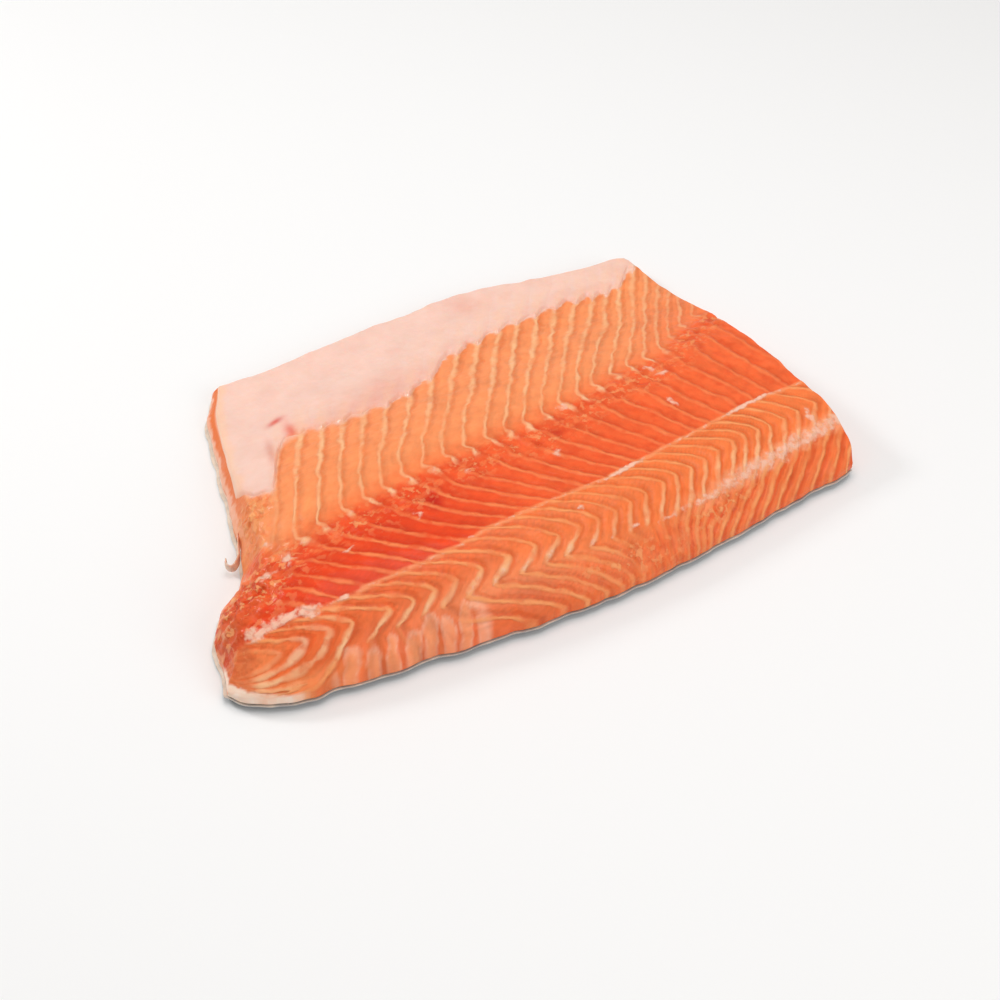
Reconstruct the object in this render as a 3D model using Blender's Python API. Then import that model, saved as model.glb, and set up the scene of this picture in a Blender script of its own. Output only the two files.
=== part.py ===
"""Raw salmon fillet: one trimmed side of the fish, without head or tail, lying on its skin.

+X runs along the fish to the tail, +Y runs from the back to the belly, +Z is up.
The origin is the middle of the fillet's footprint, at the level it rests on.
Every surface is a grid over the same patch, so that the layers lie on each other:
s runs from the head cut (0) to the tail cut (1), t from the back edge (0) to the belly edge (1).
"""
import bmesh
import bpy
import numpy as np

MM = 0.001

# Outline of the skin in plan, as points that a smooth curve passes through (millimetres).
BACK_EDGE = [(-142, -76), (-134, -85), (-122, -90), (-101, -93), (-61, -95.5), (-11, -98.5),
             (29, -97.5), (69, -92.5), (109, -86), (142, -82)]
BELLY_EDGE = [(-89, 87), (-64, 87), (-29, 91.5), (8, 95.5), (42, 98.5), (60, 96), (79, 92.5),
              (104, 90), (125, 89)]
HEAD_CUT = [(-142, -76), (-138.5, -64), (-137, -50), (-131, -39.5), (-120, -29.5), (-113, -17),
            (-110.5, -4), (-107.5, 11), (-104.5, 30), (-101, 49), (-96.5, 69.5), (-89, 87)]
TAIL_CUT = [(142, -82), (125, 89)]
PATCH_LENGTH = 250 * MM          # mean distance from the head cut to the tail cut
PATCH_WIDTH = 180 * MM           # mean distance from the back edge to the belly edge

# Layers.
SKIN_THICKNESS = 1.2 * MM
LINING_THICKNESS = 0.9 * MM
GAP = 0.3 * MM                   # between layers that touch
BACK_TURN_UP = 2.5 * MM          # the skin curls up along the back edge
BACK_TURN_WIDTH = 12 * MM

# The loin's height along the fillet, as (s, height in millimetres) from head cut to tail cut.
LOIN_HEIGHT = [(0.0, 14), (0.05, 21), (0.12, 27.5), (0.22, 30), (0.32, 30.5), (0.55, 28.5),
               (0.8, 25.5), (1.0, 23.2)]
BELLY_HEIGHT = 7.6 * MM          # height of the flesh along the belly edge
LOIN_SIDE = 0.18                 # t where the rounded back side meets the flat top
LOIN_END = 0.38                  # t where the loin starts to fall towards the belly
FLAP_START = 0.95                # t where the belly flap is level again
EDGE_HEIGHT = 1.0 * MM           # flesh left standing at the thin edges
BACK_ROUNDNESS = 1.65            # 1 is a straight bevel, 2 a quarter ellipse
HEAD_ROUNDNESS = 1.35
HEAD_BEVEL_LOIN = 13 * MM        # run of the slanting head cut through the loin
HEAD_BEVEL_BELLY = 6 * MM        # and through the belly flap

# How far the flesh stops short of the skin's edge.
HEAD_MARGIN = 2.4 * MM
BACK_MARGIN = 0.8 * MM
BELLY_MARGIN = 0.4 * MM

# The belly lining: its edge towards the loin, as (s, t) points from head to tail.
LINING_EDGE = [(0.0, 0.49), (0.06, 0.53), (0.09, 0.63), (0.13, 0.67), (0.22, 0.68), (0.32, 0.67),
               (0.43, 0.73), (0.53, 0.79), (0.65, 0.82), (0.8, 0.83), (0.93, 0.85), (1.0, 0.92)]
LINING_MARGIN = 1.0 * MM

COLUMNS = 46                     # even columns of the flesh between the two cuts
ROWS = 24                        # even rows beyond the rounded back side
BEVEL_STEPS = 4
SIDE_STEPS = 8


def smooth_curve(points):
    """Return a function from 0..1 to places evenly spaced along a smooth curve through points."""
    knots = np.array(points, dtype=float) * MM
    chord = np.concatenate([[0], np.cumsum(np.hypot(*np.diff(knots, axis=0).T))])
    slope = np.gradient(knots, chord, axis=0)
    fine = np.linspace(0, chord[-1], 400)
    left = np.clip(np.searchsorted(chord, fine, side="right") - 1, 0, len(chord) - 2)
    span = (chord[left + 1] - chord[left])[:, None]
    w = (fine - chord[left])[:, None] / span
    path = ((1 + 2 * w) * (1 - w) ** 2 * knots[left] + w * (1 - w) ** 2 * span * slope[left]
            + w * w * (3 - 2 * w) * knots[left + 1] + w * w * (w - 1) * span * slope[left + 1])
    along = np.concatenate([[0], np.cumsum(np.hypot(*np.diff(path, axis=0).T))])
    along /= along[-1]

    def place(share):
        return np.stack([np.interp(share, along, path[:, axis]) for axis in (0, 1)], axis=-1)
    return place


back_edge, belly_edge = smooth_curve(BACK_EDGE), smooth_curve(BELLY_EDGE)
head_cut, tail_cut = smooth_curve(HEAD_CUT), smooth_curve(TAIL_CUT)


def plan(s, t):
    """Map patch coordinates to the ground plan: a Coons patch between the four edges."""
    s, t = np.broadcast_arrays(np.asarray(s, float), np.asarray(t, float))
    a, b = s[..., None], t[..., None]
    across = (1 - b) * back_edge(s) + b * belly_edge(s)
    along = (1 - a) * head_cut(t) + a * tail_cut(t)
    corners = ((1 - a) * (1 - b) * head_cut(0.0) + a * (1 - b) * tail_cut(0.0)
               + (1 - a) * b * head_cut(1.0) + a * b * tail_cut(1.0))
    return across + along - corners


def rounded_rise(distance, run, roundness):
    """Rise from 0 at an edge to 1 at a distance of run, between a bevel and an ellipse."""
    left_over = 1 - np.clip(distance / run, 0, 1)
    return (1 - left_over ** roundness) ** (1 / roundness)


def underside(t):
    """Height of the skin's lower face: flat, and turned up along the back edge."""
    return BACK_TURN_UP * np.clip(1 - t * PATCH_WIDTH / BACK_TURN_WIDTH, 0, 1) ** 2


def flesh_underside(t):
    return underside(t) + SKIN_THICKNESS + GAP


def flesh_top(s, t):
    """Height of the cut flesh: rounded at the back, flat loin, thin belly flap, slanting head cut."""
    stations, heights = np.array(LOIN_HEIGHT).T
    loin = np.interp(s, stations, heights) * MM
    fall = np.clip((t - LOIN_END) / (FLAP_START - LOIN_END), 0, 1)
    body = BELLY_HEIGHT + (loin - BELLY_HEIGHT) * (1 + np.cos(np.pi * fall)) / 2
    side = rounded_rise(t, LOIN_SIDE, BACK_ROUNDNESS)
    bevel = HEAD_BEVEL_LOIN + (HEAD_BEVEL_BELLY - HEAD_BEVEL_LOIN) * np.clip(t / 0.5 - 0.6, 0, 1)
    cut = rounded_rise(s * PATCH_LENGTH, bevel, HEAD_ROUNDNESS)
    low = flesh_underside(t) + EDGE_HEIGHT
    return low + np.maximum(body - low, 0) * np.minimum(side, cut)


def lining_edge(s):
    stations, shares = np.array(LINING_EDGE).T
    return np.interp(s, stations, shares)


def layered_solid(name, s, t, lower, upper):
    """Close the space between two height fields over one grid of patch coordinates."""
    places = plan(s, t)
    columns, rows = s.shape
    sheet = bmesh.new()
    grids = [[[sheet.verts.new((*places[i, j], height[i, j])) for j in range(rows)]
              for i in range(columns)] for height in (lower, upper)]
    bottom, top = grids
    for i in range(columns - 1):
        for j in range(rows - 1):
            sheet.faces.new([top[i][j], top[i + 1][j], top[i + 1][j + 1], top[i][j + 1]])
            sheet.faces.new([bottom[i][j], bottom[i][j + 1], bottom[i + 1][j + 1], bottom[i + 1][j]])
    rim = ([(i, 0) for i in range(columns - 1)] + [(columns - 1, j) for j in range(rows - 1)]
           + [(i, rows - 1) for i in range(columns - 1, 0, -1)] + [(0, j) for j in range(rows - 1, 0, -1)])
    for (i, j), (k, m) in zip(rim, rim[1:] + rim[:1]):
        sheet.faces.new([bottom[i][j], bottom[k][m], top[k][m], top[i][j]])
    bmesh.ops.dissolve_limit(sheet, angle_limit=0.002, verts=sheet.verts, edges=sheet.edges)
    bmesh.ops.triangulate(sheet, faces=sheet.faces)
    bmesh.ops.recalc_face_normals(sheet, faces=sheet.faces)
    mesh = bpy.data.meshes.new(name)
    sheet.to_mesh(mesh)
    sheet.free()
    mesh.shade_smooth()
    mesh.set_sharp_from_angle(angle=0.7)
    piece = bpy.data.objects.new(name, mesh)
    bpy.context.collection.objects.link(piece)
    return piece


def material(name, colour, roughness):
    finish = bpy.data.materials.new(name)
    finish.use_nodes = True
    shader = finish.node_tree.nodes["Principled BSDF"]
    shader.inputs["Base Color"].default_value = (*colour, 1)
    shader.inputs["Roughness"].default_value = roughness
    shader.inputs["Metallic"].default_value = 0.0
    return finish


def flesh_stations():
    """Columns close together through the head bevel, rows close together round the back side."""
    bevel = np.linspace(HEAD_MARGIN, HEAD_BEVEL_LOIN, BEVEL_STEPS, endpoint=False) / PATCH_LENGTH
    body = np.linspace(HEAD_BEVEL_LOIN / PATCH_LENGTH, 1, COLUMNS)
    start = BACK_MARGIN / PATCH_WIDTH
    side = start + (LOIN_SIDE - start) * np.linspace(0, 1, SIDE_STEPS, endpoint=False) ** 1.6
    flat = np.linspace(LOIN_SIDE, 1 - BELLY_MARGIN / PATCH_WIDTH, ROWS)
    return np.meshgrid(np.concatenate([bevel, body]), np.concatenate([side, flat]), indexing="ij")


def make_flesh():
    s, t = flesh_stations()
    flesh = layered_solid("flesh", s, t, flesh_underside(t), flesh_top(s, t))
    flesh.data.materials.append(material("raw_flesh", (0.84, 0.19, 0.06), 0.35))
    return flesh


def make_skin():
    turn = np.linspace(0, BACK_TURN_WIDTH / PATCH_WIDTH, 4, endpoint=False)
    rows = np.concatenate([turn, np.linspace(BACK_TURN_WIDTH / PATCH_WIDTH, 1, ROWS)])
    s, t = np.meshgrid(np.linspace(0, 1, COLUMNS), rows, indexing="ij")
    skin = layered_solid("skin", s, t, underside(t), underside(t) + SKIN_THICKNESS)
    skin.data.materials.append(material("fish_skin", (0.42, 0.42, 0.40), 0.4))
    return skin


def make_belly_lining():
    """The pale membrane over the ribs' side of the belly, lying on the flesh."""
    start = (HEAD_BEVEL_BELLY + HEAD_MARGIN + LINING_MARGIN) / PATCH_LENGTH
    columns = np.linspace(start, 1 - LINING_MARGIN / PATCH_LENGTH, COLUMNS)
    shares = np.linspace(0, 1, ROWS // 2)
    s, share = np.meshgrid(columns, shares, indexing="ij")
    last = 1 - (BELLY_MARGIN + LINING_MARGIN) / PATCH_WIDTH
    t = lining_edge(s) + (last - lining_edge(s)) * share
    under = flesh_top(s, t) + GAP
    lining = layered_solid("belly_lining", s, t, under, under + LINING_THICKNESS)
    lining.data.materials.append(material("pale_membrane", (0.90, 0.62, 0.52), 0.35))
    return lining


for old in list(bpy.data.objects):
    bpy.data.objects.remove(old, do_unlink=True)

fillet = bpy.data.objects.new("fillet", None)
bpy.context.collection.objects.link(fillet)
for layer in (make_skin(), make_flesh(), make_belly_lining()):
    layer.parent = fillet
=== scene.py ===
# %% [markdown]
# # A raw salmon fillet, from a plain solid to wet fish
# The object is one side of a salmon without head or tail. It has three layers, and each has its own
# solid in the fixed frame: the skin it lies on, the orange flesh, and the pale lining of the belly.
# The frame gives the size and the place of each layer. This script makes the visible surfaces around
# it: dense meshes with real relief, and materials that know where every muscle segment runs.

# %% Load the frame
from math import radians

import bmesh
import bpy
import numpy as np
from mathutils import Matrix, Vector


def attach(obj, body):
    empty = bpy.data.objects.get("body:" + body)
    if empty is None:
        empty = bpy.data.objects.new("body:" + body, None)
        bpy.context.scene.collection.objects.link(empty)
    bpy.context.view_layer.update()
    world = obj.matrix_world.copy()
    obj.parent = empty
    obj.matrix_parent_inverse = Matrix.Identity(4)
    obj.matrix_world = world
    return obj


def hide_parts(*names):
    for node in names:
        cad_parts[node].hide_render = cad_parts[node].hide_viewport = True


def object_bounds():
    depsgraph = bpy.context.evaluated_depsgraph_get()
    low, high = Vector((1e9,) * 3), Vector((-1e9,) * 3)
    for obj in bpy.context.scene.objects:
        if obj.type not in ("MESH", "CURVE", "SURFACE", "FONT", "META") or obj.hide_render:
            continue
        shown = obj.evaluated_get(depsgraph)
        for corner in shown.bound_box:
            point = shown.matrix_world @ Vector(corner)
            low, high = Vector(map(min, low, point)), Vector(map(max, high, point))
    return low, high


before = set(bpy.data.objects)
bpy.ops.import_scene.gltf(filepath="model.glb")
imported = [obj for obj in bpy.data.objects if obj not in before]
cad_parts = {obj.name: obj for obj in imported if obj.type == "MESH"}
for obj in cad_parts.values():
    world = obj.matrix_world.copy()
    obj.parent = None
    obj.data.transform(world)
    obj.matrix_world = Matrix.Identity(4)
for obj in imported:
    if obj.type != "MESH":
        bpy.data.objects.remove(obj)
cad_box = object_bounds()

MM = 0.001
print("frame box (mm):", [[round(c / MM, 1) for c in corner] for corner in cad_box])

# %% [markdown]
# ## Smooth curves through a few points
# Everything on a fillet runs along gentle curves: its outline, the line where the backbone lay, the
# rows of hooks in the muscle. A long list of points would be hard to change, so each curve is a few
# given points, and this helper runs smoothly through them (a cubic Hermite spline).

# %% Curve helpers
def through(points):
    """Return a smooth function of x through (x, value) points, level beyond its ends."""
    knots, values = np.array(points, float).T
    slopes = np.gradient(values, knots)

    def value_at(x):
        x = np.clip(x, knots[0], knots[-1])
        k = np.clip(np.searchsorted(knots, x, side="right") - 1, 0, len(knots) - 2)
        span = knots[k + 1] - knots[k]
        w = (x - knots[k]) / span
        start = (1 + 2 * w) * (1 - w) ** 2 * values[k] + w * (1 - w) ** 2 * span * slopes[k]
        end = w * w * (3 - 2 * w) * values[k + 1] + w * w * (w - 1) * span * slopes[k + 1]
        return start + end
    return value_at


print("a curve through (0, 0), (1, 3), (2, 4) at 0.5:", through([(0, 0), (1, 3), (2, 4)])(0.5))


def edge_curve(points):
    """Return a function from 0..1 to places evenly spaced along a smooth plan curve (millimetres)."""
    knots = np.array(points, float)
    chord = np.concatenate([[0], np.cumsum(np.hypot(*np.diff(knots, axis=0).T))])
    fine = np.linspace(0, chord[-1], 400)
    path = np.stack([through(np.stack([chord, knots[:, axis]], -1))(fine) for axis in (0, 1)], -1)
    along = np.concatenate([[0], np.cumsum(np.hypot(*np.diff(path, axis=0).T))])
    along /= along[-1]
    return lambda share: np.stack([np.interp(share, along, path[:, axis]) for axis in (0, 1)], -1)


def ease(low, high, value):
    """Smooth step from 0 at low to 1 at high."""
    w = np.clip((value - low) / (high - low), 0, 1)
    return w * w * (3 - 2 * w)


# %% [markdown]
# ## Randomness that is the same every time
# Flesh is never regular, so most shapes below get a little noise. Blender's noise functions work one
# point at a time. With some 80,000 points it is quicker to let numpy do it: random slopes on a square
# lattice, from a fixed seed, blended smoothly in between.

# %% Noise helpers
LATTICE = 97
NOISE_GAIN = 1.7         # brings the hills to about -1 to 1


def ripple(x, y, size, seed):
    """Smooth random hills from about -1 to 1, roughly size millimetres apart (gradient noise)."""
    slopes = np.random.default_rng(seed).uniform(0, 2 * np.pi, (LATTICE, LATTICE))
    c, s = np.cos(seed), np.sin(seed)          # every layer lies at its own angle
    u, v = (x * c - y * s) / size, (x * s + y * c) / size
    i, j = np.floor(u).astype(int), np.floor(v).astype(int)
    f, g = u - i, v - j

    def hill(di, dj):
        slope = slopes[(i + di) % LATTICE, (j + dj) % LATTICE]
        return np.cos(slope) * (f - di) + np.sin(slope) * (g - dj)

    a, b = f ** 3 * (6 * f * f - 15 * f + 10), g ** 3 * (6 * g * g - 15 * g + 10)
    near = hill(0, 0) * (1 - a) + hill(1, 0) * a
    far = hill(0, 1) * (1 - a) + hill(1, 1) * a
    return NOISE_GAIN * (near * (1 - b) + far * b)


def rough(x, y, size, seed, layers=3):
    """Ripples on ripples: each layer is half the size and a bit over half as strong."""
    return sum(ripple(x, y, size / 2 ** n, seed + n) * 0.6 ** n for n in range(layers))


sample = np.arange(300.0)
print("range of the noise:", np.ptp(ripple(sample, sample, 7, 1)).round(2))


def spot(x, y, centre, radii, turn=0.0):
    """A soft oval spot: 1 at its centre and fading to nothing around its radii."""
    dx, dy = x - centre[0], y - centre[1]
    c, s = np.cos(radians(turn)), np.sin(radians(turn))
    return np.exp(-((dx * c + dy * s) / radii[0]) ** 2 - ((dy * c - dx * s) / radii[1]) ** 2)


# %% [markdown]
# ## The shape of the slab
# All three layers share one patch, as in the solids: s runs from the head cut to the tail cut, t from
# the back edge to the belly edge. A Coons patch blends the four edge curves, so its grid lines follow
# the concave notch behind the gills and fade into straight lines at the tail. That is what a plain
# rectangle, bent afterwards, would not do.

# %% Outline and patch
BACK_EDGE = [(-142, -76), (-134, -85), (-122, -90), (-101, -93), (-61, -95.5), (-11, -98.5),
             (29, -97.5), (69, -92.5), (109, -86), (142, -82)]
BELLY_EDGE = [(-89, 87), (-64, 87), (-29, 91.5), (8, 95.5), (42, 98.5), (60, 96), (79, 92.5),
              (104, 90), (125, 89)]
HEAD_CUT = [(-142, -76), (-138.5, -64), (-137, -50), (-131, -39.5), (-120, -29.5), (-113, -17),
            (-110.5, -4), (-107.5, 11), (-104.5, 30), (-101, 49), (-96.5, 69.5), (-89, 87)]
TAIL_CUT = [(142, -82), (125, 89)]
PATCH_LENGTH, PATCH_WIDTH = 250.0, 180.0
RAGGED_BY, RAGGED_WITHIN = 0.8, 9.0
TAIL_CORNER_CUT = 1.7
back_edge, belly_edge = edge_curve(BACK_EDGE), edge_curve(BELLY_EDGE)
head_cut, tail_cut = edge_curve(HEAD_CUT), edge_curve(TAIL_CUT)
print("outline points:", [len(edge) for edge in (BACK_EDGE, BELLY_EDGE, HEAD_CUT, TAIL_CUT)])


def plan(s, t):
    """Patch coordinates to plan coordinates in millimetres."""
    a, b = s[..., None], t[..., None]
    across = (1 - b) * back_edge(s) + b * belly_edge(s)
    along = (1 - a) * head_cut(t) + a * tail_cut(t)
    corners = ((1 - a) * (1 - b) * head_cut(0.0) + a * (1 - b) * tail_cut(0.0)
               + (1 - a) * b * head_cut(1.0) + a * b * tail_cut(1.0))
    return np.moveaxis(across + along - corners, -1, 0)


def edge_distance(s, t):
    """Rough distance to the nearest edge of the patch in millimetres."""
    along = np.minimum(s, 1 - s) * PATCH_LENGTH
    return np.minimum(along, np.minimum(t, 1 - t) * PATCH_WIDTH)


def ragged(x, y, s, t):
    """Shift points near the edges a little, the same in every layer, as a knife and fingers do."""
    near = RAGGED_BY * ease(RAGGED_WITHIN, 0, edge_distance(s, t))
    x, y = x + near * rough(x, y, 14, 21, 2), y + near * rough(x, y, 14, 25, 2)
    corner = spot(x, y, (142, -82), (5, 5)) + 0.6 * spot(x, y, (125, 89), (4, 4))
    return x - TAIL_CORNER_CUT * corner, y + TAIL_CORNER_CUT * corner * np.sign(-y)


# %% [markdown]
# ## Heights
# A fillet lies flat on its skin. Its cut side is a rounded shoulder along the back, a level loin, and
# a slope down to the thin belly flap. The head end is cut on a slant. These few sizes are the same as
# the solids have, and the frame's box is printed next to what they give.

# %% Heights of the layers
SKIN_THICKNESS, LAYER_GAP = 1.2, 0.3
BACK_TURN_UP, BACK_TURN_WIDTH = 2.5, 12.0
BELLY_HEIGHT, EDGE_HEIGHT = 7.6, 1.0
LOIN_SIDE, LOIN_END, FLAP_START = 0.18, 0.38, 0.95
BACK_ROUNDNESS, HEAD_ROUNDNESS = 1.65, 1.35
HEAD_BEVEL_LOIN, HEAD_BEVEL_BELLY = 13.0, 6.0
loin_height = through([(0.0, 14), (0.05, 21), (0.12, 27.5), (0.22, 30), (0.32, 30.5), (0.55, 28.5),
                       (0.8, 25.5), (1.0, 23.2)])


def rounded_rise(distance, run, roundness):
    left_over = 1 - np.clip(distance / run, 0, 1)
    return (1 - left_over ** roundness) ** (1 / roundness)


def skin_bottom(t):
    return BACK_TURN_UP * np.clip(1 - t * PATCH_WIDTH / BACK_TURN_WIDTH, 0, 1) ** 2


def head_bevel(t):
    """Length of the slanting head cut: long through the loin, short through the belly."""
    return HEAD_BEVEL_LOIN + (HEAD_BEVEL_BELLY - HEAD_BEVEL_LOIN) * np.clip(t / 0.5 - 0.6, 0, 1)


def flesh_top(s, t):
    fall = np.clip((t - LOIN_END) / (FLAP_START - LOIN_END), 0, 1)
    body = BELLY_HEIGHT + (loin_height(s) - BELLY_HEIGHT) * (1 + np.cos(np.pi * fall)) / 2
    side = rounded_rise(t, LOIN_SIDE, BACK_ROUNDNESS)
    cut = rounded_rise(s * PATCH_LENGTH, head_bevel(t), HEAD_ROUNDNESS)
    low = skin_bottom(t) + SKIN_THICKNESS + LAYER_GAP + EDGE_HEIGHT
    return low + np.maximum(body - low, 0) * np.minimum(side, cut)


s_grid, t_grid = np.meshgrid(np.linspace(0, 1, 60), np.linspace(0, 1, 60), indexing="ij")
print("highest flesh (mm):", flesh_top(s_grid, t_grid).max().round(1),
      "- top of the frame:", round(cad_box[1][2] / MM, 1))


# %% [markdown]
# ## Where the muscle lines run
# Salmon muscle is a stack of cones, one for each vertebra, with a thin pale wall between them. The cut
# surface shows each wall as one long W: straight strokes over the belly, a hook where the ribs ended, a
# stroke back through the red band beside the backbone, a point in the upper loin, and a short return
# stroke. Painting some thirty Ws by hand would be stiff. Instead, the rows of turning points are
# curves along the fish, and every point of the surface is followed back along its own line to the row of
# hooks. Its place in that row, counted in segments, is the flake number: a wall is where it is whole.

# %% Guide rows across the fillet
hook_row = through([(-150, -46), (-118, -41), (-90, -36), (-62, -31), (-33, -25.5), (-3, -21),
                    (26, -16.5), (46, -11), (66, -4), (93, 3), (110, 14), (128, 24), (150, 32)])
middle_row = through([(-150, -66), (-128, -67.5), (-112, -70.5), (-96, -71.5), (-74, -70),
                      (-45, -68.4), (-25, -65.3), (5, -61.5), (31, -59.5), (58, -54), (84, -49),
                      (101, -45), (120, -42.7), (150, -41)])
point_row = through([(-150, -69.5), (-140, -71.5), (-130, -75), (-118, -78), (-107, -78.5),
                     (-74, -80.5), (-40, -79), (-3, -77.3), (26, -75), (50, -70), (75, -65),
                     (94, -60), (114, -58.5), (132, -55), (150, -53)])
streak_row = through([(-150, -74), (-142, -74.5), (-134, -83), (-122, -88.3), (-110, -89.5),
                      (-98, -88), (-85, -86.5), (-60, -86), (-20, -85), (10, -84.5), (34, -84),
                      (60, -81), (87, -75.6), (112, -70.6), (133, -66.3), (150, -64)])
back_row = through(BACK_EDGE)

# How far a line moves towards the tail while it crosses each band downwards (millimetres).
band_lean = through([(-130, 30), (-90, 31), (0, 35), (40, 30), (70, 24), (110, 16), (140, 14)])
loin_lean = through([(-140, 19), (-110, 20.5), (-98, 20.5), (-88, 20), (-76, 23), (-60, 23),
                     (-40, 22), (0, 24), (40, 21), (80, 18), (110, 15), (140, 13)])
return_lean = through([(-140, -56), (-133, -50), (-125, -40), (-117, -29), (-110, -19.5), (-103, -14),
                       (-96, -11.5), (-80, -10), (-40, -9), (0, -9), (30, -6), (60, -8),
                       (100, -9), (140, -8)])
side_lean = through([(-120, -22), (-95, -5), (-75, 2), (-52, 8), (-35, 26), (-10, 36), (15, 30),
                     (40, 2), (60, -18), (100, -20), (140, -18)])
belly_slant = through([(-130, 0.36), (-90, 0.42), (-4, 0.64), (66, 0.87), (110, 1.0), (140, 1.05)])

SEGMENT = 9.8            # length of one muscle segment along the fish
FIRST_HOOK = -90.0
HOOK_BEND, HOOK_HEIGHT = 3.4, 2.6        # how far, and how soon, a belly line curls at its hook
FOLLOW_STEPS = 3         # the slant depends on where the line ends, so it is found in a few steps


def flake_number(x, y):
    """Follow the line through each point up or down to the hooks, and count it there."""
    restless = np.exp(-((y - hook_row(x) + 9) / 8) ** 2)
    x = (x + 1.3 * ripple(x, y, 26, 11) + 0.7 * ripple(x, y, 9, 12) + 0.28 * ripple(x, y, 3.6, 14)
         + restless * (1.9 * ripple(x, y, 8, 15) + 0.9 * ripple(x, y, 4, 16)))
    bends = (
        (streak_row, back_row, side_lean, lambda w: w),
        (point_row, streak_row, return_lean, lambda w: w ** 1.15),
        (middle_row, point_row, loin_lean, lambda w: 0.55 * w + 0.45 * np.sin(w * np.pi / 2)),
        (hook_row, middle_row, band_lean, lambda w: w ** 1.5),
    )
    for upper, lower, lean, bend in bends:
        depth = np.clip((upper(x) - y) / (upper(x) - lower(x)), 0, 1)
        x = x - lean(x) * bend(depth)
    rise = np.maximum(y - hook_row(x), 0)
    slope = rise * (1 - 0.6 * np.exp(-rise / 15))
    hook = x
    for _ in range(FOLLOW_STEPS):
        hook = x + HOOK_BEND * (1 - np.exp(-(rise / HOOK_HEIGHT) ** 2)) - belly_slant(hook) * slope
    return (hook - FIRST_HOOK) / SEGMENT


along_hooks = np.linspace(-95, 125, 50)
print("flakes along the hooks:", flake_number(along_hooks, hook_row(along_hooks))[[0, -1]].round(1))


def from_wall(number, pitch):
    """Millimetres from the nearest wall, positive on its tail side."""
    return (number - np.round(number)) * pitch


def surface_pitch(places, number):
    """Millimetres of surface for each whole flake number, from the slopes along the grid."""
    along, across = np.gradient(places, axis=(1, 2))
    n_along, n_across = np.gradient(number, axis=(0, 1))
    e, f, g = (along * along).sum(0), (along * across).sum(0), (across * across).sum(0)
    steep = (n_along ** 2 * g - 2 * n_along * n_across * f + n_across ** 2 * e)
    steep = steep / np.maximum(e * g - f * f, 1e-9)
    return np.clip(1 / np.sqrt(np.maximum(steep, 1e-6)), 1.5, 14)


# %% [markdown]
# ## Colours of the raw fish
# The flesh goes from pale orange on the belly to deep red-orange beside the backbone, and back to
# orange in the loin. Colours are given as screen values (0 to 255) and turned into the linear light
# that shaders need, so that they can be compared with a real fillet directly.

# %% Named colours
def screen(red, green, blue):
    """Screen colour to linear light."""
    share = np.array([red, green, blue]) / 255
    return np.where(share <= 0.04045, share / 12.92, ((share + 0.055) / 1.055) ** 2.4)


BELLY, BELLY_LOW = screen(246, 147, 91), screen(242, 125, 71)
BAND_HEAD, BAND_MIDDLE, BAND_TAIL = screen(229, 68, 22), screen(238, 96, 46), screen(241, 105, 53)
LOIN_HEAD, LOIN_MIDDLE = screen(236, 109, 55), screen(242, 123, 64)
# SIDE is partly the back side's own orange and partly painted shade for its steep slope.
SIDE, SIDE_PALE = screen(232, 109, 60), screen(252, 166, 118)
CREAM, FAT_PINK = screen(255, 202, 154), screen(251, 196, 170)
WALL_BELLY, WALL_BAND, WALL_LOIN = screen(255, 190, 138), screen(251, 134, 78), screen(253, 160, 98)
SEPTUM = screen(253, 160, 106)
STREAK_PINK, COLLAR = screen(250, 164, 120), screen(234, 98, 48)
LINING, LINING_PINK = screen(247, 206, 191), screen(241, 178, 160)
SKIN_FAT, FLECK = screen(254, 228, 210), screen(255, 178, 116)
BLOOD, BLOOD_PINK = screen(196, 28, 6), screen(222, 90, 84)
# The brown is dark muscle on the tail cut and painted shade on the head cut beside the back.
CUT_FACE, BROWN_MUSCLE_AND_SHADE = screen(236, 124, 66), screen(204, 106, 62)


def blend(colour, other, share):
    """Mix colour towards other by share, which may differ from point to point."""
    return colour + (other - colour) * share[..., None]


print("belly orange in linear light:", BELLY.round(3))


# %% [markdown]
# ## Regions of the cut surface
# Masks say how much of each finish every point has. They are soft where tissues fade into each other
# (belly to red band) and tight where two muscles meet (at the pale line where the backbone lay).

# %% The lining's scalloped edge
lining_row = through([(-103, 12), (-99, 6), (-95, 1), (-90, 0), (-86, 9), (-82, 19), (-76, 27),
                      (-68, 31), (-55, 31), (-43, 29), (-30, 29), (-18, 33), (-8, 38), (2, 43),
                      (10, 49), (20, 55), (35, 60), (52, 64), (66, 66), (80, 67), (95, 66),
                      (108, 67), (116, 71), (124, 79), (140, 92)])
print("lining's edge at the middle (mm):", lining_row(0.0).round(1))


def lining_cover(x, y, number):
    """Millimetres inside the lining's edge; muscle tops bulge over it between the pale walls."""
    share = np.abs(number - np.round(number)) * 2
    dome = 1 - (1 - share) ** 2
    scallop = 4.6 * (0.4 + 0.6 * ease(-70, -20, x)) * (0.5 - dome) * ease(135, 120, x)
    uneven = 1.0 * rough(x, y, 7, 31) + 2.0 * ripple(x, y, 24, 33)
    return y - lining_row(x) + scallop + uneven


def membrane_share(x, y, number):
    """How much the membrane hides the flesh: soft near the head, sharper towards the tail."""
    cover = lining_cover(x, y, number)
    softness = 1.2 + 2.2 * ease(0, -50, x)
    return ease(-softness, softness, cover + 0.8 * rough(x, y, 4, 35))


# %% Fibres, and fingers on the side
FINGER_PITCH = 7.8       # millimetres from finger to finger


def fibre_streaks(y, number):
    """Fine broken streaks that run along the walls: noise in the flakes' own coordinates."""
    u = number * SEGMENT * 2.6
    return ripple(u, y, 5, 36) + 0.6 * ripple(2 * u, y * 1.6, 5, 34)


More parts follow.
